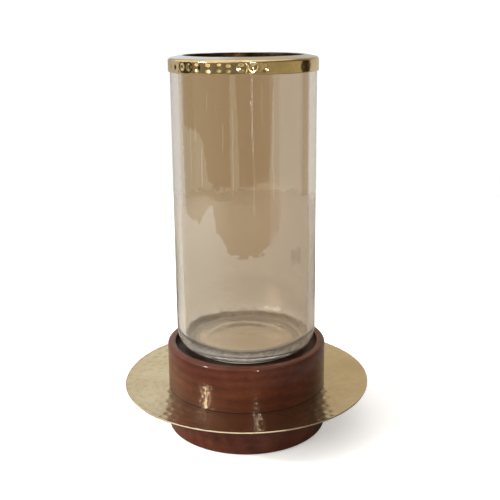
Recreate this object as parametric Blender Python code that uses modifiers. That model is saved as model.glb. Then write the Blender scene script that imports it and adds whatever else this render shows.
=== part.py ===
"""Table hurricane candle holder.

A thick glass cylinder with a closed base and a brass rim band stands loose in the shallow recess of
a turned wood cup. A wide brass disc is clamped between the cup and a turned wood foot by one central
wood screw, driven up from a counterbore that a felt pad covers.

Units are metres, +Z is up, and the origin is the centre of the underside.
"""
import math

import bpy

MM = 0.001

# Driving dimensions
SEGMENTS = 60                    # facets around every large turned piece
SMALL_SEGMENTS = 24              # facets around the screw, its washers and their holes
GAP = 0.3 * MM                   # clearance between pieces that touch
MERGE = 0.01 * MM                # merge distance for the turned profiles
SHARP_ANGLE = math.radians(32)   # edges bent more than this are shaded sharp

TOTAL_HEIGHT = 267.8 * MM

PAD_PROUD = 0.6 * MM             # the base pad stands this far below the wood
PAD_THICKNESS = 1.8 * MM
PAD_RADIUS = 52.0 * MM

FOOT_TOP = 30.1 * MM
FOOT_TOP_RADIUS = 56.0 * MM
FOOT_BASE_RADIUS = 57.5 * MM
FOOT_EDGE = 1.5 * MM

DISC_RADIUS = 88.7 * MM
DISC_THICKNESS = 1.0 * MM
DISC_FLAT_RADIUS = 52.0 * MM     # flat where the wood clamps it
DISC_RISE = 2.6 * MM             # how far the dished edge stands above the flat

CUP_TOP = 63.6 * MM
CUP_RADIUS = 57.2 * MM
CUP_TOP_EDGE = 2.2 * MM
CUP_BASE_EDGE = 0.8 * MM
RECESS_RADIUS = 51.35 * MM
RECESS_DEPTH = 4.9 * MM
RECESS_EDGE = 0.6 * MM

GLASS_PAD_RADIUS = 37.5 * MM
GLASS_PAD_THICKNESS = 1.2 * MM

GLASS_RADIUS = 50.0 * MM
GLASS_WALL = 5.0 * MM
GLASS_BASE = 6.3 * MM            # thickness of the closed base
GLASS_TOP = 263.5 * MM
GLASS_HEEL = 13.5 * MM           # outer corner radius of the base
GLASS_INNER_HEEL = 9.0 * MM
GLASS_LIP = 1.0 * MM

BAND_RADIUS = 51.2 * MM
BAND_INNER_RADIUS = 41.0 * MM
BAND_SHEET = 0.8 * MM
BAND_SKIRT_BOTTOM = 257.1 * MM
BAND_INNER_BOTTOM = 258.6 * MM
BAND_OUTER_EDGE = 2.0 * MM       # rolled corner radii of the rim
BAND_INNER_EDGE = 1.0 * MM
BAND_CROWN = 1.4 * MM            # the inner edge stands this far above the outer one

BEDDING_INSET = 0.7 * MM         # the bedding is narrower than the glass wall on each side
BEDDING_THICKNESS = 1.3 * MM

SCREW_RADIUS = 3.0 * MM          # M6 hexagon-head wood screw on the axis
SCREW_TIP = 47.0 * MM
SCREW_TIP_RADIUS = 0.5 * MM
SCREW_POINT = 5.0 * MM           # length of the tapered point
SCREW_HEAD_FLATS = 10.0 * MM
SCREW_HEAD_HEIGHT = 4.0 * MM
FLAT_WASHER_RADIUS = 9.0 * MM
FLAT_WASHER_THICKNESS = 1.6 * MM
LOCK_WASHER_RADIUS = 5.9 * MM
LOCK_WASHER_THICKNESS = 1.6 * MM
LOCK_WASHER_SPLIT = 1.0 * MM
COUNTERBORE_RADIUS = 9.8 * MM
COUNTERBORE_TOP = 14.0 * MM

# Heights that follow from the driving dimensions
FOOT_BOTTOM = PAD_PROUD
DISC_BOTTOM = FOOT_TOP + GAP
DISC_TOP = DISC_BOTTOM + DISC_THICKNESS
CUP_BOTTOM = DISC_TOP + GAP
RECESS_FLOOR = CUP_TOP - RECESS_DEPTH
GLASS_PAD_BOTTOM = RECESS_FLOOR + GAP
GLASS_BOTTOM = GLASS_PAD_BOTTOM + GLASS_PAD_THICKNESS + GAP
GLASS_FLOOR = GLASS_BOTTOM + GLASS_BASE
FLAT_WASHER_BOTTOM = COUNTERBORE_TOP - GAP - FLAT_WASHER_THICKNESS
LOCK_WASHER_BOTTOM = FLAT_WASHER_BOTTOM - GAP - LOCK_WASHER_THICKNESS
HEAD_TOP = LOCK_WASHER_BOTTOM - GAP
HOLE_RADIUS = SCREW_RADIUS + GAP


def remove_everything():
    """Start from an empty scene."""
    for obj in list(bpy.data.objects):
        bpy.data.objects.remove(obj, do_unlink=True)


def make_collection(name):
    collection = bpy.data.collections.new(name)
    bpy.context.scene.collection.children.link(collection)
    return collection


def make_material(name, colour, roughness, metallic=0.0, transmission=0.0):
    """A Principled material; the colour is linear RGB."""
    material = bpy.data.materials.new(name)
    material.use_nodes = True
    shader = material.node_tree.nodes["Principled BSDF"]
    shader.inputs["Base Color"].default_value = (*colour, 1.0)
    shader.inputs["Roughness"].default_value = roughness
    shader.inputs["Metallic"].default_value = metallic
    shader.inputs["Transmission Weight"].default_value = transmission
    material.diffuse_color = (*colour, 1.0)
    return material


def arc(centre_r, centre_z, radius, start, end, steps=5):
    """Points (r, z) on a circle from start to end, in degrees."""
    points = []
    for i in range(steps + 1):
        angle = math.radians(start + (end - start) * i / steps)
        points.append((centre_r + radius * math.cos(angle), centre_z + radius * math.sin(angle)))
    return points


def turn(name, profile, material, collection, segments=SEGMENTS, closed=False):
    """Turn a profile of (r, z) points about Z with a Screw modifier."""
    mesh = bpy.data.meshes.new(name)
    edges = [(i, i + 1) for i in range(len(profile) - 1)]
    if closed:
        edges.append((len(profile) - 1, 0))
    mesh.from_pydata([(r, 0.0, z) for r, z in profile], edges, [])
    if material:
        mesh.materials.append(material)
    obj = bpy.data.objects.new(name, mesh)
    collection.objects.link(obj)
    screw = obj.modifiers.new("turn", "SCREW")
    screw.axis = "Z"
    screw.angle = math.tau
    screw.steps = segments
    screw.render_steps = segments
    screw.use_merge_vertices = True
    screw.merge_threshold = MERGE
    return obj


def settle(obj):
    """Apply the modifiers and shade the round faces smooth between sharp edges."""
    evaluated = obj.evaluated_get(bpy.context.evaluated_depsgraph_get())
    mesh = bpy.data.meshes.new_from_object(evaluated)
    obj.modifiers.clear()
    obj.data = mesh
    mesh.shade_smooth()
    mesh.set_sharp_from_angle(angle=SHARP_ANGLE)


def build_glass(parts):
    """Cylinder with a closed base, a round heel inside and out, and a softened lip."""
    inner = GLASS_RADIUS - GLASS_WALL
    profile = [(0.0, GLASS_FLOOR)]
    profile += arc(inner - GLASS_INNER_HEEL, GLASS_FLOOR + GLASS_INNER_HEEL, GLASS_INNER_HEEL, 270, 360)
    profile += arc(inner + GLASS_LIP, GLASS_TOP - GLASS_LIP, GLASS_LIP, 180, 90, 3)
    profile += arc(GLASS_RADIUS - GLASS_LIP, GLASS_TOP - GLASS_LIP, GLASS_LIP, 90, 0, 3)
    profile += arc(GLASS_RADIUS - GLASS_HEEL, GLASS_BOTTOM + GLASS_HEEL, GLASS_HEEL, 0, -90, 7)
    profile.append((0.0, GLASS_BOTTOM))
    material = make_material("smoked_amber_glass", (0.66, 0.53, 0.38), 0.03, transmission=1.0)
    return turn("glass_cylinder", profile, material, parts)


def build_rim_band(parts):
    """Sheet brass rolled over the lip: an open surface given its thickness by Solidify."""
    outer_z = TOTAL_HEIGHT - BAND_CROWN - BAND_OUTER_EDGE
    inner_z = TOTAL_HEIGHT - BAND_INNER_EDGE
    profile = [(BAND_INNER_RADIUS, BAND_INNER_BOTTOM)]
    profile += arc(BAND_INNER_RADIUS + BAND_INNER_EDGE, inner_z, BAND_INNER_EDGE, 180, 90, 4)
    profile += arc(BAND_RADIUS - BAND_OUTER_EDGE, outer_z, BAND_OUTER_EDGE, 75, 0, 4)
    profile.append((BAND_RADIUS, BAND_SKIRT_BOTTOM))
    material = make_material("polished_brass", (0.72, 0.55, 0.28), 0.18, metallic=1.0)
    band = turn("rim_band", profile, material, parts)
    sheet = band.modifiers.new("sheet", "SOLIDIFY")
    sheet.thickness = BAND_SHEET
    sheet.offset = -1.0
    sheet.use_even_offset = True
    return band


def build_rim_bedding(parts):
    """Soft ring between the glass lip and the rim band that holds the band on."""
    inner = GLASS_RADIUS - GLASS_WALL + BEDDING_INSET
    outer = GLASS_RADIUS - BEDDING_INSET
    bottom = GLASS_TOP + GAP
    top = bottom + BEDDING_THICKNESS
    profile = [(inner, bottom), (inner, top), (outer, top), (outer, bottom)]
    material = make_material("bedding_silicone", (0.55, 0.52, 0.46), 0.5)
    return turn("rim_bedding", profile, material, parts, closed=True)


def build_glass_pad(parts):
    """Felt disc that the glass stands on."""
    top = GLASS_PAD_BOTTOM + GLASS_PAD_THICKNESS
    profile = [(0.0, top), (GLASS_PAD_RADIUS, top), (GLASS_PAD_RADIUS, GLASS_PAD_BOTTOM)]
    profile.append((0.0, GLASS_PAD_BOTTOM))
    material = make_material("pale_felt", (0.52, 0.46, 0.38), 0.95)
    return turn("glass_pad", profile, material, parts)


def build_wood_cup(parts):
    """Turned block with a shallow recess for the glass and a blind hole for the screw."""
    hole_top = SCREW_TIP + GAP
    profile = [(0.0, RECESS_FLOOR), (RECESS_RADIUS, RECESS_FLOOR)]
    profile += arc(RECESS_RADIUS + RECESS_EDGE, CUP_TOP - RECESS_EDGE, RECESS_EDGE, 180, 90, 2)
    profile += arc(CUP_RADIUS - CUP_TOP_EDGE, CUP_TOP - CUP_TOP_EDGE, CUP_TOP_EDGE, 90, 0)
    profile += arc(CUP_RADIUS - CUP_BASE_EDGE, CUP_BOTTOM + CUP_BASE_EDGE, CUP_BASE_EDGE, 0, -90, 2)
    profile += [(HOLE_RADIUS, CUP_BOTTOM), (HOLE_RADIUS, hole_top), (0.0, hole_top)]
    material = make_material("cup_lacquered_wood", (0.115, 0.036, 0.018), 0.22)
    return turn("wood_cup", profile, material, parts)


def build_brass_disc(parts):
    """Thin disc, flat where it is clamped and dished up towards its edge."""
    rise_steps = 6
    top = [(HOLE_RADIUS, DISC_TOP)]
    for i in range(rise_steps + 1):
        part = i / rise_steps
        radius = DISC_FLAT_RADIUS + (DISC_RADIUS - DISC_FLAT_RADIUS) * part
        top.append((radius, DISC_TOP + DISC_RISE * part ** 2))
    bottom = [(radius, z - DISC_THICKNESS) for radius, z in reversed(top)]
    material = make_material("satin_brass", (0.66, 0.52, 0.30), 0.34, metallic=1.0)
    return turn("brass_disc", top + bottom, material, parts, closed=True)


def build_wood_foot(parts):
    """Turned foot with a recess for the base pad and a counterbored hole for the screw."""
    recess_radius = PAD_RADIUS + GAP
    recess_top = PAD_THICKNESS + GAP
    profile = [(HOLE_RADIUS, FOOT_TOP)]
    profile += arc(FOOT_TOP_RADIUS - FOOT_EDGE, FOOT_TOP - FOOT_EDGE, FOOT_EDGE, 90, 0, 3)
    profile += arc(FOOT_BASE_RADIUS - FOOT_EDGE, FOOT_BOTTOM + FOOT_EDGE, FOOT_EDGE, 0, -90, 3)
    profile += [(recess_radius, FOOT_BOTTOM), (recess_radius, recess_top)]
    profile += [(COUNTERBORE_RADIUS, recess_top), (COUNTERBORE_RADIUS, COUNTERBORE_TOP)]
    profile.append((HOLE_RADIUS, COUNTERBORE_TOP))
    material = make_material("foot_lacquered_wood", (0.105, 0.034, 0.018), 0.24)
    return turn("wood_foot", profile, material, parts, closed=True)


def build_base_pad(parts):
    """Felt disc under the foot; it hides the screw and stands on the table."""
    profile = [(0.0, PAD_THICKNESS), (PAD_RADIUS, PAD_THICKNESS), (PAD_RADIUS, 0.0), (0.0, 0.0)]
    material = make_material("dark_felt", (0.035, 0.022, 0.016), 0.95)
    return turn("base_pad", profile, material, parts)


def add_tool(obj, name, tools):
    """Name a primitive that shapes another piece, apply its scale and hide it among the tools."""
    obj.name = name
    bpy.ops.object.transform_apply(location=False, rotation=False, scale=True)
    for collection in list(obj.users_collection):
        collection.objects.unlink(obj)
    tools.objects.link(obj)
    obj.hide_render = True
    obj.display_type = "WIRE"
    return obj


def combine(obj, tool, operation):
    boolean = obj.modifiers.new(tool.name, "BOOLEAN")
    boolean.operation = operation
    boolean.solver = "EXACT"
    boolean.object = tool


def build_centre_screw(parts, tools):
    """Wood screw from the foot, through the disc, into the cup: a turned shank and a hexagon head."""
    profile = [(0.0, SCREW_TIP), (SCREW_TIP_RADIUS, SCREW_TIP)]
    profile += [(SCREW_RADIUS, SCREW_TIP - SCREW_POINT), (SCREW_RADIUS, HEAD_TOP - GAP)]
    profile.append((0.0, HEAD_TOP - GAP))
    material = make_material("screw_steel", (0.62, 0.61, 0.58), 0.3, metallic=1.0)
    screw = turn("centre_screw", profile, material, parts, SMALL_SEGMENTS)
    corner_radius = SCREW_HEAD_FLATS / 2 / math.cos(math.radians(30))
    middle = HEAD_TOP - SCREW_HEAD_HEIGHT / 2
    bpy.ops.mesh.primitive_cylinder_add(vertices=6, radius=corner_radius, depth=SCREW_HEAD_HEIGHT,
                                        location=(0.0, 0.0, middle))
    combine(screw, add_tool(bpy.context.active_object, "hexagon_head", tools), "UNION")
    return screw


def washer_profile(radius, bottom, thickness):
    top = bottom + thickness
    return [(HOLE_RADIUS, bottom), (HOLE_RADIUS, top), (radius, top), (radius, bottom)]


def build_flat_washer(parts):
    """Wide washer that spreads the screw's load on the foot."""
    profile = washer_profile(FLAT_WASHER_RADIUS, FLAT_WASHER_BOTTOM, FLAT_WASHER_THICKNESS)
    material = make_material("flat_washer_steel", (0.60, 0.59, 0.57), 0.35, metallic=1.0)
    return turn("flat_washer", profile, material, parts, SMALL_SEGMENTS, closed=True)


def build_lock_washer(parts, tools):
    """Split spring washer between the screw head and the flat washer."""
    profile = washer_profile(LOCK_WASHER_RADIUS, LOCK_WASHER_BOTTOM, LOCK_WASHER_THICKNESS)
    material = make_material("lock_washer_steel", (0.50, 0.50, 0.49), 0.4, metallic=1.0)
    washer = turn("lock_washer", profile, material, parts, SMALL_SEGMENTS, closed=True)
    middle = LOCK_WASHER_BOTTOM + LOCK_WASHER_THICKNESS / 2
    bpy.ops.mesh.primitive_cube_add(size=1.0, location=(LOCK_WASHER_RADIUS, 0.0, middle))
    split = bpy.context.active_object
    split.scale = (LOCK_WASHER_RADIUS, LOCK_WASHER_SPLIT, 3 * LOCK_WASHER_THICKNESS)
    combine(washer, add_tool(split, "washer_split", tools), "DIFFERENCE")
    return washer


def main():
    remove_everything()
    parts = make_collection("hurricane_candle_holder")
    tools = make_collection("cutters")
    pieces = [build_glass(parts), build_rim_bedding(parts), build_rim_band(parts)]
    pieces += [build_wood_cup(parts), build_brass_disc(parts), build_wood_foot(parts)]
    pieces += [build_glass_pad(parts), build_base_pad(parts), build_centre_screw(parts, tools)]
    pieces += [build_flat_washer(parts), build_lock_washer(parts, tools)]
    bpy.context.view_layer.update()
    for piece in pieces:
        settle(piece)


main()
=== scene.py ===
"""Looks of the table hurricane candle holder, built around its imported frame.

The glass, its rim band, the wood cup and foot, the brass disc and the felt pads are fine meshes that
replace the plain CAD solids. The bedding, screw and washers stay as CAD nodes with better materials.
Lengths are in metres, and the front of the object faces -Y, where the camera stands.
"""
import math

import bpy
import numpy as np
from mathutils import Matrix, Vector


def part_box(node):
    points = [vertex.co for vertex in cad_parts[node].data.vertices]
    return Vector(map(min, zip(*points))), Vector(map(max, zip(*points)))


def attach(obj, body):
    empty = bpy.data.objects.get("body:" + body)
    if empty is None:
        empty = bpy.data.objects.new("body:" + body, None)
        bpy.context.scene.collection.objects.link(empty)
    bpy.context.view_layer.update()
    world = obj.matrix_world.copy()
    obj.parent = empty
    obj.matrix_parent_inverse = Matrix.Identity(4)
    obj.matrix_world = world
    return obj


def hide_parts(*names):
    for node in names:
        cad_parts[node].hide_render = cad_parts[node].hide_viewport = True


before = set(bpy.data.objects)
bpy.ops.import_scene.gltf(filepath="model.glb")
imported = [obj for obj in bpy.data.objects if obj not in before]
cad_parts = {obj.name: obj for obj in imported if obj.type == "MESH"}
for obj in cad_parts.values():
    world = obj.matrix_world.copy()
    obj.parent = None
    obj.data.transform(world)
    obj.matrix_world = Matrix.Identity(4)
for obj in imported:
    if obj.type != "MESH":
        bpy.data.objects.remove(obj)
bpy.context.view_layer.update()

MM = 0.001
rng = np.random.default_rng(7)

# Sizes the frame doesn't state; the same as the CAD's
GLASS_WALL = 5.0 * MM
GLASS_BASE = 6.3 * MM
GLASS_HEEL = 13.5 * MM
GLASS_INNER_HEEL = 9.0 * MM
RECESS_RADIUS = 51.35 * MM
RECESS_DEPTH = 4.9 * MM
FOOT_TOP_RADIUS = 56.0 * MM
BAND_INNER_RADIUS = 41.0 * MM
BAND_SHEET = 0.8 * MM
BAND_CROWN = 1.4 * MM
DISC_FLAT_RADIUS = 52.0 * MM
DISC_RISE = 2.6 * MM
SCREW_HOLE = 3.3 * MM
COUNTERBORE_RADIUS = 9.8 * MM
COUNTERBORE_TOP = 14.0 * MM
FLOOR_RADIUS = 0.85

# The frame's own sizes
GLASS_LOW, GLASS_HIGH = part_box("glass_cylinder")
BAND_LOW, BAND_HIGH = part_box("rim_band")
CUP_LOW, CUP_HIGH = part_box("wood_cup")
DISC_LOW, DISC_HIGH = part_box("brass_disc")
FOOT_LOW, FOOT_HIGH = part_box("wood_foot")
GLASS_PAD_LOW, GLASS_PAD_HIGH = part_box("glass_pad")
BASE_PAD_LOW, BASE_PAD_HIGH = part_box("base_pad")
SCREW_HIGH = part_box("centre_screw")[1]


# ---------------------------------------------------------------- turned meshes

def arc(centre_r, centre_z, radius, start, end, steps=10):
    """Points (r, z) on a circle from start to end, in degrees."""
    angles = np.radians(np.linspace(start, end, steps + 1))
    return [(centre_r + radius * math.cos(a), centre_z + radius * math.sin(a)) for a in angles]


def dense(profile, step, closed=False):
    """The same outline with points no further apart than step."""
    ends = profile[1:] + profile[:1] if closed else profile[1:]
    points = []
    for (r0, z0), (r1, z1) in zip(profile, ends):
        pieces = max(1, math.ceil(math.hypot(r1 - r0, z1 - z0) / step))
        points += [(r0 + (r1 - r0) * i / pieces, z0 + (z1 - z0) * i / pieces) for i in range(pieces)]
    if not closed:
        points.append(profile[-1])
    return points


def outward(profile, closed):
    """Unit normals of an outline that runs down its outer side."""
    points = np.array(profile)
    if closed:
        along = np.roll(points, -1, 0) - np.roll(points, 1, 0)
    else:
        along = np.gradient(points, axis=0)
    along /= np.maximum(np.linalg.norm(along, axis=1, keepdims=True), 1e-12)
    return np.stack([-along[:, 1], along[:, 0]], 1)


def turn(name, profile, segments, relief=None, closed=False, sharp=50):
    """Turn (r, z) points about Z. relief(theta, r, z) moves the surface along its normal."""
    points = np.array(profile)
    normals = outward(profile, closed)
    theta = np.linspace(0, math.tau, segments, endpoint=False)[None, :]
    r = np.repeat(points[:, :1], segments, 1)
    z = np.repeat(points[:, 1:], segments, 1)
    if relief is not None:
        height = relief(theta + 0 * r, r, z)
        on_axis = points[:, 0] < 1e-6
        height[on_axis] = height[on_axis].mean(1, keepdims=True)
        r, z = r + height * normals[:, :1], z + height * normals[:, 1:]
        r[on_axis] = 0.0
    rings, vertices = [], []
    for i in range(len(points)):
        first = len(vertices)
        if points[i, 0] < 1e-6:
            vertices.append((0.0, 0.0, float(z[i, 0])))
            rings.append([first] * segments)
            continue
        xs, ys = r[i] * np.cos(theta[0]), r[i] * np.sin(theta[0])
        vertices += list(zip(xs.tolist(), ys.tolist(), z[i].tolist()))
        rings.append(list(range(first, first + segments)))
    faces = []
    pairs = list(zip(rings, rings[1:] + rings[:1] if closed else rings[1:]))
    for upper, lower in pairs:
        for j in range(segments):
            k = (j + 1) % segments
            corners = dict.fromkeys((upper[j], lower[j], lower[k], upper[k]))
            faces.append(tuple(corners))
    mesh = bpy.data.meshes.new(name)
    mesh.from_pydata(vertices, [], faces)
    mesh.shade_smooth()
    mesh.set_sharp_from_angle(angle=math.radians(sharp))
    obj = bpy.data.objects.new(name, mesh)
    bpy.context.scene.collection.objects.link(obj)
    return obj


def wrapped(angle):
    return (angle + math.pi) % math.tau - math.pi


def dimple(distance, depth):
    """A hammer mark: a round hollow with a faint raised lip; distance is in radii."""
    bowl = np.where(distance < 1, (1 - distance ** 2) ** 2, 0.0)
    lip = np.exp(-((distance - 1.08) / 0.16) ** 2)
    return depth * (0.14 * lip - bowl)


def install(obj, material, body, slot, *nodes):
    """Give a finished piece its material, its body and the CAD nodes it stands for; slot is not used."""
    obj.data.materials.clear()
    obj.data.materials.append(material)
    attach(obj, body)
    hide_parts(*nodes)
    return obj


# ---------------------------------------------------------------- node graphs

class Graph:
    """A short way to write one material's node tree around a Principled shader."""

    def __init__(self, name, **sockets):
        self.material = bpy.data.materials.new(name)
        self.material.use_nodes = True
        self.tree = self.material.node_tree
        self.shader = self.tree.nodes["Principled BSDF"]
        self.output = self.tree.nodes["Material Output"]
        for socket, value in sockets.items():
            self.put(self.shader, socket.replace("_", " "), value)
        self.place = self.node("ShaderNodeTexCoord").outputs["Object"]

    @classmethod
    def of(cls, material):
        """The graph of a material that another function has begun."""
        g = cls.__new__(cls)
        g.material, g.tree = material, material.node_tree
        g.shader = g.tree.nodes["Principled BSDF"]
        g.output = g.tree.nodes["Material Output"]
        g.place = g.node("ShaderNodeTexCoord").outputs["Object"]
        return g

    def put(self, node, socket, value):
        """Link a socket, or set its value; a colour may be given as three numbers."""
        target = node.inputs[socket]
        if isinstance(value, bpy.types.NodeSocket):
            self.tree.links.new(value, target)
        elif target.type == "RGBA" and len(value) == 3:
            target.default_value = (*value, 1.0)
        else:
            target.default_value = value

    def node(self, kind, inputs=None, **properties):
        node = self.tree.nodes.new(kind)
        for key, value in properties.items():
            setattr(node, key, value)
        for socket, value in (inputs or {}).items():
            self.put(node, socket, value)
        return node

    def math(self, operation, *values):
        node = self.node("ShaderNodeMath", operation=operation)
        for index, value in enumerate(values):
            self.put(node, index, value)
        return node.outputs[0]

    def axes(self):
        """The x, y and z of the shaded point."""
        return self.node("ShaderNodeSeparateXYZ", {0: self.place}).outputs

    def off_axis(self, x, y):
        """Distance from the Z axis."""
        return self.math("SQRT", self.math("ADD", self.math("MULTIPLY", x, x), self.math("MULTIPLY", y, y)))

    def stretched(self, x, y, z):
        """The shaded point with each axis scaled."""
        node = self.node("ShaderNodeMapping", {"Vector": self.place, "Scale": (x, y, z)})
        return node.outputs[0]

    def noise(self, scale, detail=2.0, roughness=0.5, at=None, distortion=0.0):
        inputs = {"Vector": at or self.place, "Scale": scale, "Detail": detail,
                  "Roughness": roughness, "Distortion": distortion}
        return self.node("ShaderNodeTexNoise", inputs).outputs["Fac"]

    def spread(self, value, low, high, to_low=0.0, to_high=1.0, smooth=True):
        """Map low..high to to_low..to_high, clamped."""
        kind = "SMOOTHSTEP" if smooth else "LINEAR"
        inputs = {"Value": value, "From Min": low, "From Max": high,
                  "To Min": to_low, "To Max": to_high}
        return self.node("ShaderNodeMapRange", inputs, interpolation_type=kind).outputs[0]

    def ramp(self, value, *stops):
        """A colour ramp; each stop is (place, colour)."""
        node = self.node("ShaderNodeValToRGB", {"Fac": value})
        elements = node.color_ramp.elements
        while len(elements) < len(stops):
            elements.new(0.5)
        for element, (position, colour) in zip(elements, stops):
            element.position = position
            element.color = (*colour, 1.0)
        return node.outputs["Color"]

    def mix(self, factor, a, b, blend="MIX"):
        node = self.node("ShaderNodeMix", data_type="RGBA", blend_type=blend)
        self.put(node, 0, factor)
        self.put(node, 6, a)
        self.put(node, 7, b)
        return node.outputs[2]

    def bump(self, height, distance, strength=1.0, normal=None):
        inputs = {"Height": height, "Distance": distance, "Strength": strength}
        if normal is not None:
            inputs["Normal"] = normal
        return self.node("ShaderNodeBump", inputs).outputs[0]

    def shade(self, **sockets):
        for socket, value in sockets.items():
            self.put(self.shader, socket.replace("_", " "), value)
        return self.material


# ---------------------------------------------------------------- materials

def wood(name, dark, middle, light, pith, turned):
    """Face-grain hardwood with growth rings, pores and a glossy lacquer."""
    g = Graph(name, Coat_Weight=0.6, Coat_Roughness=0.05, Coat_IOR=1.42, IOR=1.4,
              Specular_IOR_Level=0.2)
    turn_node = g.node("ShaderNodeMapping", {"Vector": g.place, "Rotation": (0.0, 0.0, turned),
                                             "Location": pith})
    g.place = turn_node.outputs[0]
    warp = g.noise(9.0, 3.0, at=g.stretched(0.5, 1.0, 1.0))
    x, y, z = g.axes()
    radius = g.math("SQRT", g.math("ADD", g.math("MULTIPLY", y, y), g.math("MULTIPLY", z, z)))
    radius = g.math("MULTIPLY_ADD", warp, 0.030, radius)
    rings = g.math("MULTIPLY_ADD", g.math("SINE", g.math("MULTIPLY", radius, 900.0)), 0.5, 0.5)
    fibres = g.noise(1.0, 4.0, 0.65, at=g.stretched(30.0, 300.0, 300.0))
    blotches = g.noise(38.0, 4.0, 0.65)
    figure = g.math("MULTIPLY_ADD", rings, 0.10, g.math("MULTIPLY", fibres, 0.38))
    figure = g.math("MULTIPLY_ADD", blotches, 0.62, figure)
    colour = g.ramp(figure, (0.36, dark), (0.55, middle), (0.74, light))
    pores = g.noise(1.0, 2.0, 0.5, at=g.stretched(160.0, 1800.0, 1800.0))
    pores = g.spread(pores, 0.60, 0.70)
    colour = g.mix(g.math("MULTIPLY", pores, 0.40), colour, tuple(c * 0.4 for c in dark))
    ripple = g.bump(g.noise(55.0, 2.0), 0.0012, 0.10)
    return g.shade(
        Base_Color=colour,
        Roughness=g.spread(fibres, 0.3, 0.7, 0.34, 0.48),
        Normal=g.bump(pores, -0.0002, 0.20, ripple),
        Coat_Normal=ripple,
    )


def brass(name, bright, dull, low, high, grain=0.22):
    """Brass with faint tarnish, fine hairlines and an uneven polish."""
    g = Graph(name, Metallic=1.0)
    clouds = g.noise(28.0, 4.0, 0.6)
    specks = g.noise(420.0, 2.0, 0.6)
    tarnish = g.spread(g.math("MULTIPLY_ADD", specks, 0.25, clouds), 0.45, 0.85)
    hairlines = g.noise(1.0, 2.0, 0.7, at=g.stretched(1500.0, 60.0, 1500.0))
    rough = g.spread(g.math("MULTIPLY_ADD", clouds, 0.5, specks), 0.45, 1.0, low, high)
    fine = g.bump(hairlines, 0.00002, 0.25)
    return g.shade(
        Base_Color=g.mix(tarnish, bright, dull),
        Roughness=rough,
        Normal=g.bump(g.noise(260.0, 2.0), 0.00006, grain, fine),
    )


def rim_brass(name):
    """Polished brass with a painted pale reflection on its top, painted dark as shade and dull where the
    band turns down inside the glass.
    """
    material = brass(name, (0.80, 0.62, 0.33), (0.58, 0.42, 0.19), 0.06, 0.14)
    g = Graph.of(material)
    x, y, z = g.axes()
    radius = g.off_axis(x, y)
    inner = g.spread(radius, BAND_INNER_RADIUS + 0.40 * MM, BAND_INNER_RADIUS + 0.25 * MM)
    bright = g.shader.inputs["Base Color"].links[0].from_socket
    rough = g.shader.inputs["Roughness"].links[0].from_socket
    # Painted shade: the inner side of the band, turned down inside the glass, is painted nearly black
    painted_inner_shade = g.ramp(g.noise(180.0, 3.0, 0.7), (0.35, (0.022, 0.012, 0.006)), (0.70, (0.07, 0.042, 0.022)))
    # Painted reflection: the top of the band is painted a pale silver, as if it mirrored a bright sky
    painted_top_reflection = g.spread(z, BAND_HIGH.z - 1.9 * MM, BAND_HIGH.z - 1.0 * MM)
    bright = g.mix(painted_top_reflection, bright, (0.75, 0.755, 0.77))
    return g.shade(Base_Color=g.mix(inner, bright, painted_inner_shade),
                   Roughness=g.math("MULTIPLY_ADD", inner, 0.25, rough))


def felt(name, dark, light):
    """Pressed wool felt: matted fibres with a soft sheen."""
    g = Graph(name, Sheen_Weight=0.4, Sheen_Roughness=0.5)
    fibres = g.noise(1900.0, 4.0, 0.75, distortion=1.5)
    clumps = g.noise(240.0, 3.0, 0.6)
    mixed = g.math("MULTIPLY_ADD", clumps, 0.5, g.math("MULTIPLY", fibres, 0.5))
    return g.shade(
        Base_Color=g.ramp(mixed, (0.30, dark), (0.70, light)),
        Roughness=g.spread(fibres, 0.2, 0.8, 0.88, 1.0),
        Normal=g.bump(mixed, 0.0006, 0.7),
    )


# Lower edge of the amber wash: (degrees round from the front, height in mm), all the way round.
# Where the height is above the glass, the wash is missing from there to the rim.
BARE = 280
TIDE_LINE = [(-180, 167), (-173.6, 166), (-172.8, BARE), (-166.8, BARE), (-166, 167), (-146, 168),
             (-141, 174), (-137, 203), (-128, 213), (-103, 219), (-101, BARE), (-58.6, BARE),
             (-57.2, 172), (-55, 166), (-50, 161), (-44, 160), (-39, 160.5), (-34.5, 167), (-29, 171.5),
             (-27.5, 174.5), (-26.2, 168), (-25.2, 163), (-24.7, 154.2), (-21.5, 151.8),
             (-18.5, 148.5), (-16, 145.5), (-13.8, 141), (-11, 139.5), (-5, 137.5), (4, 137.2),
             (13.5, 140.5), (17, 141.5), (18.8, 145.5), (22, 149), (26.4, 152.5), (29, 158),
             (31, 166), (32.5, 178), (35.5, 180), (54, 176), (64, 174), (65.5, BARE), (150, BARE),
             (154, 172), (180, 167)]
TIDE_LOW, TIDE_HIGH = 130, 290

# Vertical scratches in the wash: (degrees, width in degrees, lowest and highest mm)
SCRATCHES = [(-36.3, 0.55, 183, 211), (-42.5, 0.35, 213, 229), (-17.2, 0.45, 206, 228),
             (14.3, 0.40, 223, 252), (-9.0, 0.35, 178, 236), (7.6, 0.40, 165, 222),
             (23.6, 0.60, 176, 250), (-30.5, 0.4, 232, 246), (-48.0, 0.30, 188, 226)]

# Tints of the glass: smoke at the left and right (lighter at the left as painted light, darker at the right
# as painted shade), the thick base, the wash over the smoke, the wash's edge
SMOKE_PAINTED_LIT_LEFT, SMOKE_PAINTED_SHADE_RIGHT = (0.72, 0.665, 0.58), (0.68, 0.608, 0.517)
BASE_TINT = (0.86, 0.85, 0.82)
WASH_TINT = (0.645, 0.495, 0.30)
EDGE_TINT = (0.45, 0.32, 0.22)
SMUDGE_TINT = (0.42, 0.42, 0.45)
HAZE_COLOUR = (0.42, 0.405, 0.37)

# A grey smudge on the outside of the glass at the front right
SMUDGE_AROUND = math.radians(43)
SMUDGE_LOW, SMUDGE_HIGH = 131 * MM, 140.5 * MM


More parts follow.
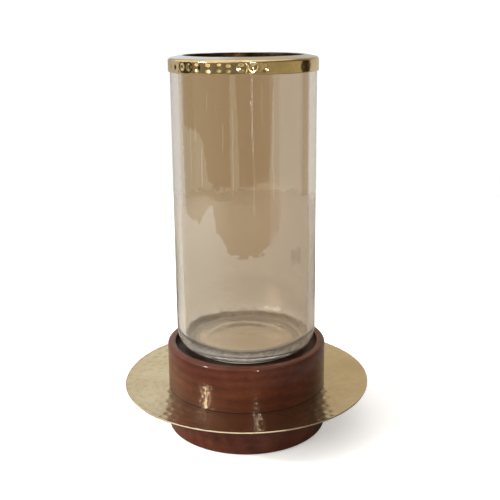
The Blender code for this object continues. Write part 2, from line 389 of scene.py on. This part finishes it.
def tide_height(g, around):
    """Height of the wash's edge at each angle, from straight stretches between the tide line's points."""
    node = g.node("ShaderNodeFloatCurve", {"Value": g.spread(around, -math.pi, math.pi, smooth=False)})
    points = node.mapping.curves[0].points
    places = [((degrees + 180) / 360, (height - TIDE_LOW) / (TIDE_HIGH - TIDE_LOW))
              for degrees, height in TIDE_LINE]
    points[0].location, points[1].location = places[0], places[-1]
    for place in places[1:-1]:
        points.new(*place)
    for point in points:
        point.handle_type = "VECTOR"
    node.mapping.update()
    return g.spread(node.outputs[0], 0, 1, TIDE_LOW * MM, TIDE_HIGH * MM, smooth=False)


def scratches(g, around, z):
    """How much of the wash the thin vertical scratches take away, 0 to 1."""
    wander = g.math("MULTIPLY_ADD", g.noise(1.0, 2.0, at=g.stretched(20.0, 20.0, 60.0)), 0.05, -0.025)
    lines = 0.0
    for degrees, width, low, high in SCRATCHES:
        away = g.math("ABSOLUTE", g.math("SUBTRACT", g.math("ADD", around, wander), math.radians(degrees)))
        line = g.spread(away, math.radians(width), math.radians(0.4 * width))
        line = g.math("MULTIPLY", line, g.spread(z, low * MM, (low + 3) * MM))
        line = g.math("MULTIPLY", line, g.spread(z, high * MM, (high - 3) * MM))
        lines = g.math("MAXIMUM", lines, line)
    return lines


def inside_base(g, radius, above_base):
    """1 on the inner floor and inner heel of the glass, 0 on its underside and outer heel."""
    reach = g.math("ADD", radius, g.math("MULTIPLY", above_base, -0.9))
    inner = g.math("LESS_THAN", reach, GLASS_HIGH.x - GLASS_HEEL - GLASS_WALL)
    return g.math("MULTIPLY", inner, g.math("GREATER_THAN", above_base, GLASS_BASE - 0.6 * MM))


def base_haze(g, radius, above_base):
    """How much pale haze lies on the outside of the base: strong underneath, cloudy up the heel."""
    outer_part = g.spread(radius, 31 * MM, 36 * MM)
    underside = g.math("MULTIPLY", g.spread(above_base, 2.4 * MM, 1.4 * MM), outer_part)
    heel = g.math("MULTIPLY", g.spread(above_base, 15 * MM, 6 * MM), outer_part)
    cloudy = g.spread(g.noise(90.0, 4.0, 0.7, distortion=2.0), 0.40, 0.60, 0.14, 0.42)
    haze = g.math("MAXIMUM", g.math("MULTIPLY", underside, 0.75), g.math("MULTIPLY", heel, cloudy))
    return g.math("MULTIPLY", haze, g.math("SUBTRACT", 1.0, inside_base(g, radius, above_base)))


def glass(name):
    """Smoky glass, amber washed inside its upper part down to a ragged line, and hazy round its base."""
    g = Graph(name, Transmission_Weight=1.0, IOR=1.5, Roughness=0.0)
    x, y, z = g.axes()
    around = g.math("ARCTAN2", x, g.math("MULTIPLY", y, -1.0))
    radius = g.off_axis(x, y)
    inside = g.math("LESS_THAN", radius, GLASS_HIGH.x - GLASS_WALL / 2)

    coarse = g.math("MULTIPLY_ADD", g.noise(240.0, 4.0, 0.65), 0.014, -0.007)
    fine = g.math("MULTIPLY_ADD", g.noise(900.0, 2.0, 0.6), 0.005, -0.0025)
    torn = g.math("MULTIPLY_ADD", g.noise(400.0, 4.0, 0.65), 0.08, -0.04)
    edge = g.math("ADD", tide_height(g, g.math("ADD", around, torn)), g.math("ADD", coarse, fine))
    right = g.spread(around, math.radians(17), math.radians(27))
    right = g.math("MULTIPLY", right, g.spread(around, math.radians(50), math.radians(40)))
    crisp = g.math("MULTIPLY_ADD", right, 0.0075, 0.00025)
    above = g.math("DIVIDE", g.math("SUBTRACT", z, edge), crisp)
    bare = g.math("MULTIPLY", scratches(g, around, z), 0.9)
    streaks = g.noise(1.0, 3.0, 0.6, at=g.stretched(190.0, 190.0, 5.0))
    cover = g.math("MULTIPLY_ADD", streaks, 0.22, 0.86)
    cover = g.math("MULTIPLY", cover, g.spread(y, -0.01, 0.01, 1.0, 0.85))
    cover = g.math("MULTIPLY", cover, g.spread(x, -0.030, 0.0, 1.07, 1.0))
    thin = g.math("ADD", g.spread(around, math.radians(20.2), math.radians(21.4), 0.0, 0.45),
                  g.spread(around, math.radians(27), math.radians(31), 0.0, 0.55))
    thin = g.math("MULTIPLY", thin, g.spread(around, math.radians(54.4), math.radians(53.6)))
    cover = g.math("MULTIPLY", cover, g.math("MULTIPLY_ADD", thin, -0.70, 1.0))
    wash = g.math("MULTIPLY", g.spread(above, -1.0, 1.0), inside)
    strength = g.math("MULTIPLY", cover, g.math("SUBTRACT", 1.0, bare))
    wash = g.math("MULTIPLY", wash, strength)
    rim_line = g.math("DIVIDE", g.math("ABSOLUTE", g.math("SUBTRACT", z, edge)), 0.0007)
    rim_line = g.math("MULTIPLY", g.spread(rim_line, 1.0, 0.2), inside)
    rim_line = g.math("MULTIPLY", rim_line, g.math("SUBTRACT", 1.0, right))

    # Painted light and shade: the smoke tint is lighter at the left and darker at the right
    smoke = g.mix(g.spread(x, -0.036, 0.004), SMOKE_PAINTED_LIT_LEFT, SMOKE_PAINTED_SHADE_RIGHT)
    smoke = g.mix(1.0, smoke, g.mix(inside, (0.90, 0.89, 0.88), (1.11, 1.12, 1.13)), "MULTIPLY")
    smoke = g.mix(g.spread(z, 0.078, 0.066), smoke, BASE_TINT)
    washed = g.mix(1.0, smoke, WASH_TINT, "MULTIPLY")
    tint = g.mix(wash, smoke, washed)
    tint = g.mix(g.math("MULTIPLY", rim_line, 0.22), tint, g.mix(1.0, tint, EDGE_TINT, "MULTIPLY"))
    smudge = g.spread(g.math("ABSOLUTE", g.math("SUBTRACT", g.math("ADD", around, torn), SMUDGE_AROUND)),
                      math.radians(6.6), math.radians(4.6))
    ragged = g.math("ADD", z, g.math("ADD", coarse, fine))
    smudge = g.math("MULTIPLY", smudge, g.spread(ragged, SMUDGE_LOW - 1.5 * MM, SMUDGE_LOW + 1.5 * MM))
    smudge = g.math("MULTIPLY", smudge, g.spread(ragged, SMUDGE_HIGH + 0.8 * MM, SMUDGE_HIGH - 0.8 * MM))
    smudge = g.math("MULTIPLY", smudge, g.math("SUBTRACT", 0.5, g.math("MULTIPLY", inside, 0.5)))
    tint = g.mix(smudge, tint, g.mix(1.0, tint, SMUDGE_TINT, "MULTIPLY"))
    outer_wave = g.bump(g.noise(1.0, 2.0, 0.5, at=g.stretched(90.0, 90.0, 150.0)), 0.0009, 0.07)
    g.shade(Base_Color=tint, Normal=outer_wave)
    clear = g.node("ShaderNodeBsdfTransparent", {"Color": tint})
    lamp = g.node("ShaderNodeLightPath").outputs["Is Shadow Ray"]
    haze = base_haze(g, radius, g.math("SUBTRACT", z, GLASS_LOW.z))
    milky = g.node("ShaderNodeBsdfDiffuse", {"Color": HAZE_COLOUR, "Roughness": 0.5})
    hazed = g.node("ShaderNodeMixShader", {0: haze, 1: g.shader.outputs[0], 2: milky.outputs[0]})
    both = g.node("ShaderNodeMixShader", {0: lamp, 1: hazed.outputs[0], 2: clear.outputs[0]})
    g.tree.links.new(both.outputs[0], g.output.inputs["Surface"])
    return g.material


def silicone(name):
    g = Graph(name, Subsurface_Weight=0.3, Subsurface_Scale=0.002)
    cloud = g.noise(160.0, 3.0)
    colour = g.ramp(cloud, (0.3, (0.48, 0.45, 0.39)), (0.7, (0.60, 0.57, 0.50)))
    return g.shade(Base_Color=colour, Roughness=g.spread(cloud, 0.3, 0.7, 0.38, 0.55),
                   Normal=g.bump(g.noise(700.0, 3.0), 0.0002, 0.4))


def zinc(name):
    g = Graph(name, Metallic=1.0)
    spangle = g.node("ShaderNodeTexVoronoi", {"Vector": g.place, "Scale": 700.0}).outputs["Color"]
    shade = g.noise(900.0, 3.0)
    colour = g.mix(0.2, g.ramp(shade, (0.3, (0.50, 0.50, 0.49)), (0.7, (0.68, 0.67, 0.63))), spangle,
                   "SOFT_LIGHT")
    return g.shade(Base_Color=colour, Roughness=g.spread(shade, 0.3, 0.7, 0.24, 0.42),
                   Normal=g.bump(shade, 0.00005, 0.3))


# ---------------------------------------------------------------- pieces

def build_glass():
    """Thick hand-made cylinder: faint waves, a closed base with a low push-up and a fire-polished lip."""
    outer, inner = GLASS_HIGH.x, GLASS_HIGH.x - GLASS_WALL
    top, bottom = GLASS_HIGH.z, GLASS_LOW.z
    floor = bottom + GLASS_BASE
    lip = GLASS_WALL / 2
    profile = [(0.0, floor + 0.4 * MM), (27 * MM, floor + 0.2 * MM), (28.5 * MM, floor + 0.1 * MM)]
    profile += [(30 * MM, floor + 0.5 * MM), (33 * MM, floor + 0.45 * MM)]
    profile += arc(inner - GLASS_INNER_HEEL, floor + GLASS_INNER_HEEL, GLASS_INNER_HEEL, 270, 360, 16)
    profile += arc(inner + lip, top - lip, lip, 180, 0, 16)
    profile += arc(outer - GLASS_HEEL, bottom + GLASS_HEEL, GLASS_HEEL, 0, -90, 20)
    profile += [(30 * MM, bottom + 0.1 * MM), (20 * MM, bottom + 0.8 * MM), (0.0, bottom + 1.2 * MM)]
    waves = [(int(n), rng.uniform(0, math.tau), rng.uniform(4, 22), 0.030 * MM * (3 / n) ** 0.5)
             for n in (2, 3, 5, 8, 13, 21, 34)]

    def relief(theta, r, z):
        height = np.zeros_like(theta)
        for count, phase, climb, size in waves:
            height += size * np.sin(count * theta + phase + 0.8 * np.sin(climb * z * 3))
        held = np.clip((z - bottom) / (12 * MM), 0, 1) * np.clip((top - z) / (12 * MM), 0, 1)
        return height * held

    obj = turn("glass", dense(profile, 3 * MM), 288, relief)
    return install(obj, glass("smoky_amber_glass"), "chimney", "smoked_glass", "glass_cylinder")


def build_rim_band():
    """Sheet brass rolled over the lip, with one row of hammer marks round its skirt."""
    outer, top, skirt = BAND_HIGH.x, BAND_HIGH.z, BAND_LOW.z
    inner = BAND_INNER_RADIUS
    edge, ridge = 2.0 * MM, 1.0 * MM
    shoulder = top - BAND_CROWN - edge

    def side(offset, low_outer, low_inner):
        """The sheet's outline at a distance inside its outer surface, from the inner edge over the top."""
        line = [(inner + offset, low_inner)]
        line += arc(inner + ridge, top - ridge, ridge - offset, 180, 80, 8)
        line += arc(outer - edge, shoulder, edge - offset, 75, 0, 8)
        line.append((outer - offset, low_outer))
        return line

    over = side(0.0, skirt + 0.3 * MM, skirt + 1.8 * MM)
    under = side(BAND_SHEET, skirt + 0.3 * MM, skirt + 1.8 * MM)[::-1]
    hem = [(outer - 0.25 * MM, skirt), (outer - BAND_SHEET + 0.25 * MM, skirt)]
    profile = dense(over + hem + under, 0.45 * MM, closed=True)

    count = 44
    middle = (skirt + shoulder + edge) / 2 - 0.3 * MM
    marks = []
    for i in range(count):
        angle = math.radians(-91.6) + math.tau * i / count + math.radians(rng.uniform(-0.9, 0.9))
        firm = 0.08 if 15 < math.degrees(wrapped(angle + math.pi / 2)) < 100 else 1.0
        marks.append((angle, middle + rng.uniform(-0.5, 0.5) * MM, rng.uniform(2.7, 3.2) * MM,
                      firm * rng.uniform(0.42, 0.60) * MM))

    def relief(theta, r, z):
        height = 0.03 * MM * np.sin(7 * theta + 1.0) + 0.015 * MM * np.sin(19 * theta + 0.3)
        on_skirt = np.where(r > outer - 2.2 * MM, 1.0, 0.0) * np.where(z < shoulder + 1.2 * MM, 1.0, 0.0)
        for angle, at, radius, depth in marks:
            across = wrapped(theta - angle) * outer
            distance = np.hypot(across, (z - at) * 0.95) / radius
            height += on_skirt * dimple(distance, depth)
        inside = np.where((r < outer - BAND_SHEET / 2) & (z < shoulder) & (r > inner + 3 * MM), -1.0, 1.0)
        return height * inside

    obj = turn("rim_band_hammered", profile, 720, relief, closed=True)
    return install(obj, rim_brass("polished_brass"), "chimney", "rim_brass", "rim_band")


def build_disc():
    """Spun brass disc with rings of shallow hammer marks, dished up to a softened edge."""
    outer, top_edge = DISC_HIGH.x, DISC_HIGH.z
    thick = top_edge - DISC_LOW.z - DISC_RISE
    flat = top_edge - DISC_RISE
    upper = [(SCREW_HOLE, flat)]
    for part in np.linspace(0, 1, 16):
        r = DISC_FLAT_RADIUS + (outer - 0.3 * MM - DISC_FLAT_RADIUS) * part
        upper.append((float(r), flat + DISC_RISE * float(part) ** 2))
    lower = [(r, z - thick) for r, z in reversed(upper)]
    rim = [(outer, top_edge - 0.3 * MM), (outer, top_edge - thick + 0.3 * MM)]
    profile = dense(upper + rim + lower, 1.1 * MM, closed=True)

    marks = []
    for ring in np.arange(59.5, 86.5, 6.6) * MM:
        count = round(math.tau * ring / (8.6 * MM))
        start = rng.uniform(0, math.tau)
        for i in range(count):
            marks.append((start + math.tau * (i + rng.uniform(-0.16, 0.16)) / count,
                          ring + rng.uniform(-0.7, 0.7) * MM, rng.uniform(2.7, 3.6) * MM,
                          rng.uniform(0.13, 0.21) * MM))

    def relief(theta, r, z):
        height = np.zeros_like(theta)
        for angle, at, radius, depth in marks:
            across = wrapped(theta - angle) * at
            near = (np.abs(across) < 1.6 * radius) & (np.abs(r - at) < 1.6 * radius)
            distance = np.hypot(across[near], (r - at)[near]) / radius
            height[near] += dimple(distance, depth)
        height += np.clip((r - 60 * MM) / (25 * MM), 0, 1) * 0.25 * MM * np.sin(3 * theta + 0.6)
        surface = flat + DISC_RISE * np.clip((r - DISC_FLAT_RADIUS) / (outer - DISC_FLAT_RADIUS), 0, 1) ** 2
        return np.where(z > surface - thick / 2, 1.0, -1.0) * height

    obj = turn("hammered_disc", profile, 600, relief, closed=True)
    material = brass("satin_brass", (0.79, 0.68, 0.47), (0.68, 0.56, 0.36), 0.17, 0.25, grain=0.08)
    return install(obj, material, "base", "disc_brass", "brass_disc")


def build_cup():
    """Turned cup: a flat-topped wall round a shallow, less glossy recess painted dark as shade, with painted
    shade darkening the wall near the disc.
    """
    outer, top, bottom = CUP_HIGH.x, CUP_HIGH.z, CUP_LOW.z - 0.2 * MM
    floor = top - RECESS_DEPTH
    inner_edge, edge, foot_edge, cove = 1.0 * MM, 2.2 * MM, 0.4 * MM, 0.8 * MM
    profile = [(0.0, floor)]
    profile += arc(RECESS_RADIUS - cove, floor + cove, cove, 270, 360, 6)
    profile += arc(RECESS_RADIUS + inner_edge, top - inner_edge, inner_edge, 180, 90, 8)
    profile += arc(outer - edge, top - edge, edge, 90, 0, 12)
    profile += arc(outer - foot_edge, bottom + foot_edge, foot_edge, 0, -90, 6)
    hole_top = SCREW_HIGH.z + 0.3 * MM
    profile += [(SCREW_HOLE, bottom), (SCREW_HOLE, hole_top), (0.0, hole_top)]

    def relief(theta, r, z):
        return 0.05 * MM * np.sin(2 * theta + 0.7) + 0.03 * MM * np.sin(5 * theta + 2.0)

    obj = turn("wood_cup_turned", dense(profile, 2 * MM), 256, relief)
    material = wood("cup_wood_lacquer", (0.040, 0.0080, 0.0031), (0.073, 0.0155, 0.0056),
                    (0.104, 0.028, 0.0104), (0.3, 0.045, 0.07), 0.35)
    g = Graph.of(material)
    x, y, z = g.axes()
    radius = g.off_axis(x, y)
    recess = g.spread(radius, RECESS_RADIUS + 0.5 * MM, RECESS_RADIUS + 0.2 * MM)
    wood_and_painted_shade = g.shader.inputs["Base Color"].links[0].from_socket
    # Painted shade: the wood is darkened towards the bottom of the cup, next to the disc
    painted_shade_near_disc = g.spread(z, CUP_LOW.z + 14 * MM, CUP_LOW.z + 2 * MM, 0.0, 0.30)
    wood_and_painted_shade = g.mix(painted_shade_near_disc, wood_and_painted_shade, (0.004, 0.002, 0.001))
    # Painted shade: the recess wall and floor are painted nearly black, and their lacquer is thinner
    g.shade(Base_Color=g.mix(g.math("MULTIPLY", recess, 0.85), wood_and_painted_shade, (0.010, 0.004, 0.003)),
            Coat_Weight=g.math("MULTIPLY_ADD", recess, -0.5, 0.6))
    return install(obj, material, "base", "cup_wood", "wood_cup")


def build_foot():
    """Turned foot, a little wider at its base, with a pad recess and a counterbored screw hole."""
    outer, top, bottom = FOOT_HIGH.x, FOOT_HIGH.z, FOOT_LOW.z
    edge = 1.5 * MM
    recess = BASE_PAD_HIGH.x + 0.3 * MM
    ceiling = BASE_PAD_HIGH.z + 0.3 * MM
    profile = [(SCREW_HOLE, top)]
    profile += arc(FOOT_TOP_RADIUS - edge, top - edge, edge, 90, 0, 8)
    profile += arc(outer - edge, bottom + edge, edge, 0, -90, 8)
    profile += [(recess, bottom), (recess, ceiling), (COUNTERBORE_RADIUS, ceiling)]
    profile += [(COUNTERBORE_RADIUS, COUNTERBORE_TOP), (SCREW_HOLE, COUNTERBORE_TOP)]

    def relief(theta, r, z):
        return 0.05 * MM * np.sin(2 * theta + 2.2) + 0.03 * MM * np.sin(4 * theta + 0.5)

    obj = turn("wood_foot_turned", dense(profile, 2 * MM, closed=True), 256, relief, closed=True)
    material = wood("foot_wood_lacquer", (0.046, 0.0110, 0.0058), (0.082, 0.0210, 0.0110),
                    (0.114, 0.035, 0.0190), (0.1, -0.05, 0.02), -0.5)
    return install(obj, material, "base", "foot_wood", "wood_foot")


def build_pad(name, low, high, material, slot, node):
    """A felt disc with a soft, slightly fuzzy edge."""
    radius, soft = high.x, 0.35 * MM
    profile = [(0.0, high.z)]
    profile += arc(radius - soft, high.z - soft, soft, 90, 0, 4)
    profile += arc(radius - soft, low.z + soft, soft, 0, -90, 4)
    profile.append((0.0, low.z))

    def relief(theta, r, z):
        fuzz = rng.normal(0, 0.03 * MM, theta.shape)
        return np.where((r > radius - 1 * MM) & (z > low.z + 0.1 * MM), fuzz, 0.0)

    obj = turn(name, dense(profile, 2 * MM), 220, relief)
    return install(obj, material, "base", slot, node)


def finish_cad_nodes():
    """Give the hidden pieces that stay as CAD nodes their materials."""
    finishes = {"centre_screw": zinc("zinc_plate"), "rim_bedding": silicone("clear_silicone")}
    finishes["flat_washer"] = finishes["lock_washer"] = finishes["centre_screw"]
    for name, material in finishes.items():
        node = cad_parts[name]
        node.data.materials.clear()
        node.data.materials.append(material)


# ---------------------------------------------------------------- stage, light and camera

def build_floor():
    """A round table top: white to look at, and duller, with a dark ring, in the light that it gives back."""
    obj = turn("floor", [(0.0, 0.0), (FLOOR_RADIUS, 0.0)], 96)
    g = Graph("pale_floor", Roughness=0.8, Specular_IOR_Level=0.1)
    pale = g.ramp(g.noise(3.0), (0.3, (0.93, 0.93, 0.925)), (0.7, (0.945, 0.945, 0.94)))
    rays = g.node("ShaderNodeLightPath").outputs
    x, y, z = g.axes()
    radius = g.off_axis(x, y)
    far = g.spread(radius, 0.15, 0.80, smooth=False)
    seen_back = g.ramp(radius, (0.15, (0.33, 0.31, 0.285)), (0.26, (0.30, 0.28, 0.255)),
                       (0.31, (0.13, 0.11, 0.09)), (0.45, (0.15, 0.13, 0.11)),
                       (0.62, (0.42, 0.385, 0.34)), (0.80, (0.46, 0.42, 0.37)))
    seen_through = g.mix(far, (0.735,) * 3, (0.845,) * 3)
    dull = g.mix(rays["Is Transmission Ray"], seen_back, seen_through)
    glow = g.math("MULTIPLY", g.math("MULTIPLY", rays["Is Transmission Ray"], far), 0.02)
    glow = g.math("MULTIPLY_ADD", rays["Is Camera Ray"], 0.35, glow)
    g.shade(Base_Color=g.mix(rays["Is Camera Ray"], dull, pale), Emission_Color=(1.0, 1.0, 1.0),
            Emission_Strength=glow)
    obj.data.materials.append(g.material)


def area_light(name, place, target, size, power, colour=(1, 1, 1)):
    data = bpy.data.lights.new(name, "AREA")
    data.shape = "RECTANGLE"
    data.size, data.size_y = size
    data.energy = power
    data.color = colour
    light = bpy.data.objects.new(name, data)
    light.visible_camera = False
    bpy.context.scene.collection.objects.link(light)
    direction = Matrix.Translation(target).translation - Matrix.Translation(place).translation
    light.location = place
    light.rotation_euler = direction.to_track_quat("-Z", "Y").to_euler()
    return light


# What the room looks like near the horizon and higher up: (degrees round from the camera's side, colour)
ROOM = [(-180, (0.50, 0.49, 0.47)), (-150, (0.52, 0.51, 0.49)), (-140, (0.58, 0.57, 0.56)),
        (-112, (0.56, 0.55, 0.53)), (-105, (0.05, 0.045, 0.03)), (-86, (0.05, 0.045, 0.03)),
        (-82, (0.29, 0.27, 0.22)), (-24, (0.215, 0.20, 0.17)), (12.2, (0.215, 0.20, 0.17)),
        (40, (0.44, 0.41, 0.31)), (97, (0.52, 0.48, 0.36)), (99, (0.04, 0.03, 0.02)),
        (117, (0.04, 0.03, 0.02)), (121, (0.60, 0.58, 0.55)), (150, (0.58, 0.56, 0.53)),
        (180, (0.50, 0.49, 0.47))]
UPPER = [(-180, (0.55, 0.46, 0.33)), (-150, (0.55, 0.49, 0.38)),
         (-120, (1.15, 1.12, 1.08)), (-40, (1.15, 1.12, 1.08)), (-10, (0.40, 0.37, 0.33)),
         (20, (0.18, 0.16, 0.14)), (110, (0.18, 0.16, 0.14)), (145, (0.50, 0.43, 0.32)),
         (180, (0.55, 0.46, 0.33))]

# Bright upright lines in the room: degrees round from the camera's side
WINDOW_EDGES = [11.6, 13.6]


def build_world():
    """A white backdrop to look at, and a room to be lit by: bright at the upper left, dim at the right."""
    world = bpy.data.worlds.new("studio")
    bpy.context.scene.world = world
    world.use_nodes = True
    g = Graph.__new__(Graph)
    g.tree = world.node_tree
    g.place = g.node("ShaderNodeTexCoord").outputs["Generated"]
    x, y, z = g.axes()
    around = g.math("ARCTAN2", x, g.math("MULTIPLY", y, -1.0))
    around = g.spread(around, -math.pi, math.pi, smooth=False)
    walls, upper = [g.ramp(around, *[((degrees + 180) / 360, colour) for degrees, colour in stops])
                    for stops in (ROOM, UPPER)]
    room = g.mix(g.spread(z, 0.12, 0.32), walls, upper)
    room = g.mix(g.spread(z, 0.60, 0.90), room, (1.2, 1.19, 1.17))
    gleam = 0.0
    for degrees in WINDOW_EDGES:
        place = (degrees + 180) / 360
        away = g.math("ABSOLUTE", g.math("SUBTRACT", around, place))
        gleam = g.math("ADD", gleam, g.spread(away, 0.45 / 360, 0.20 / 360))
    gleam = g.math("MULTIPLY", gleam, g.spread(z, -0.175, -0.14))
    room = g.mix(gleam, room, (7.0, 6.7, 6.4))
    rays = g.node("ShaderNodeLightPath").outputs
    looked_at = g.math("MAXIMUM", rays["Is Camera Ray"], rays["Is Transmission Ray"])
    background = g.tree.nodes["Background"]
    g.put(background, "Color", g.mix(looked_at, room, (1.02, 1.02, 1.02)))


def build_light():
    """A large unreflected softbox at the left, a pale patch behind, and two lamps that leave highlights."""
    key = area_light("key", (-0.95, -0.60, 0.50), (0, 0, 0.06), (0.6, 0.6), 12.5)
    key.visible_glossy = False
    area_light("lamp_left", (-0.780, -0.415, 0.570), (0, 0, 0.05), (0.12, 0.05), 4.6, (1.0, 0.95, 0.84))
    sky = area_light("sky", (-0.17, 0.90, 0.47), (0, 0, 0.04), (0.26, 0.4), 0.115, (0.6, 0.8, 1.0))
    sky.visible_transmission = False
    area_light("lamp_right", (0.235, -0.90, 0.36), (0, 0, 0.15), (0.05, 0.05), 1.5, (1.0, 0.93, 0.88))


def build_camera():
    """The view from a little above the rim, 0.57 m in front."""
    data = bpy.data.cameras.new("camera")
    data.sensor_width = 36.0
    data.lens = 59.09
    data.shift_y = -0.076
    data.clip_start, data.clip_end = 0.02, 50.0
    camera = bpy.data.objects.new("camera", data)
    bpy.context.scene.collection.objects.link(camera)
    distance, height = 0.56604, 0.28997
    yaw, pitch, roll = 0.00635, 0.22906, -0.00901
    camera.matrix_world = (
        Matrix.Translation((0.0, -distance, height))
        @ Matrix.Rotation(-yaw, 4, "Z")
        @ Matrix.Rotation(math.pi / 2 - pitch, 4, "X")
        @ Matrix.Rotation(roll, 4, "Z")
    )
    bpy.context.scene.camera = camera
    bpy.context.scene.view_settings.view_transform = "Standard"


build_glass()
build_rim_band()
build_disc()
build_cup()
build_foot()
build_pad("glass_pad_felt", GLASS_PAD_LOW, GLASS_PAD_HIGH,
          felt("pale_felt_cloth", (0.55, 0.50, 0.43), (0.74, 0.69, 0.60)), "pale_felt", "glass_pad")
build_pad("base_pad_felt", BASE_PAD_LOW, BASE_PAD_HIGH,
          felt("dark_felt_cloth", (0.020, 0.013, 0.010), (0.055, 0.036, 0.026)), "dark_felt", "base_pad")
finish_cad_nodes()
build_floor()
build_world()
build_light()
build_camera()
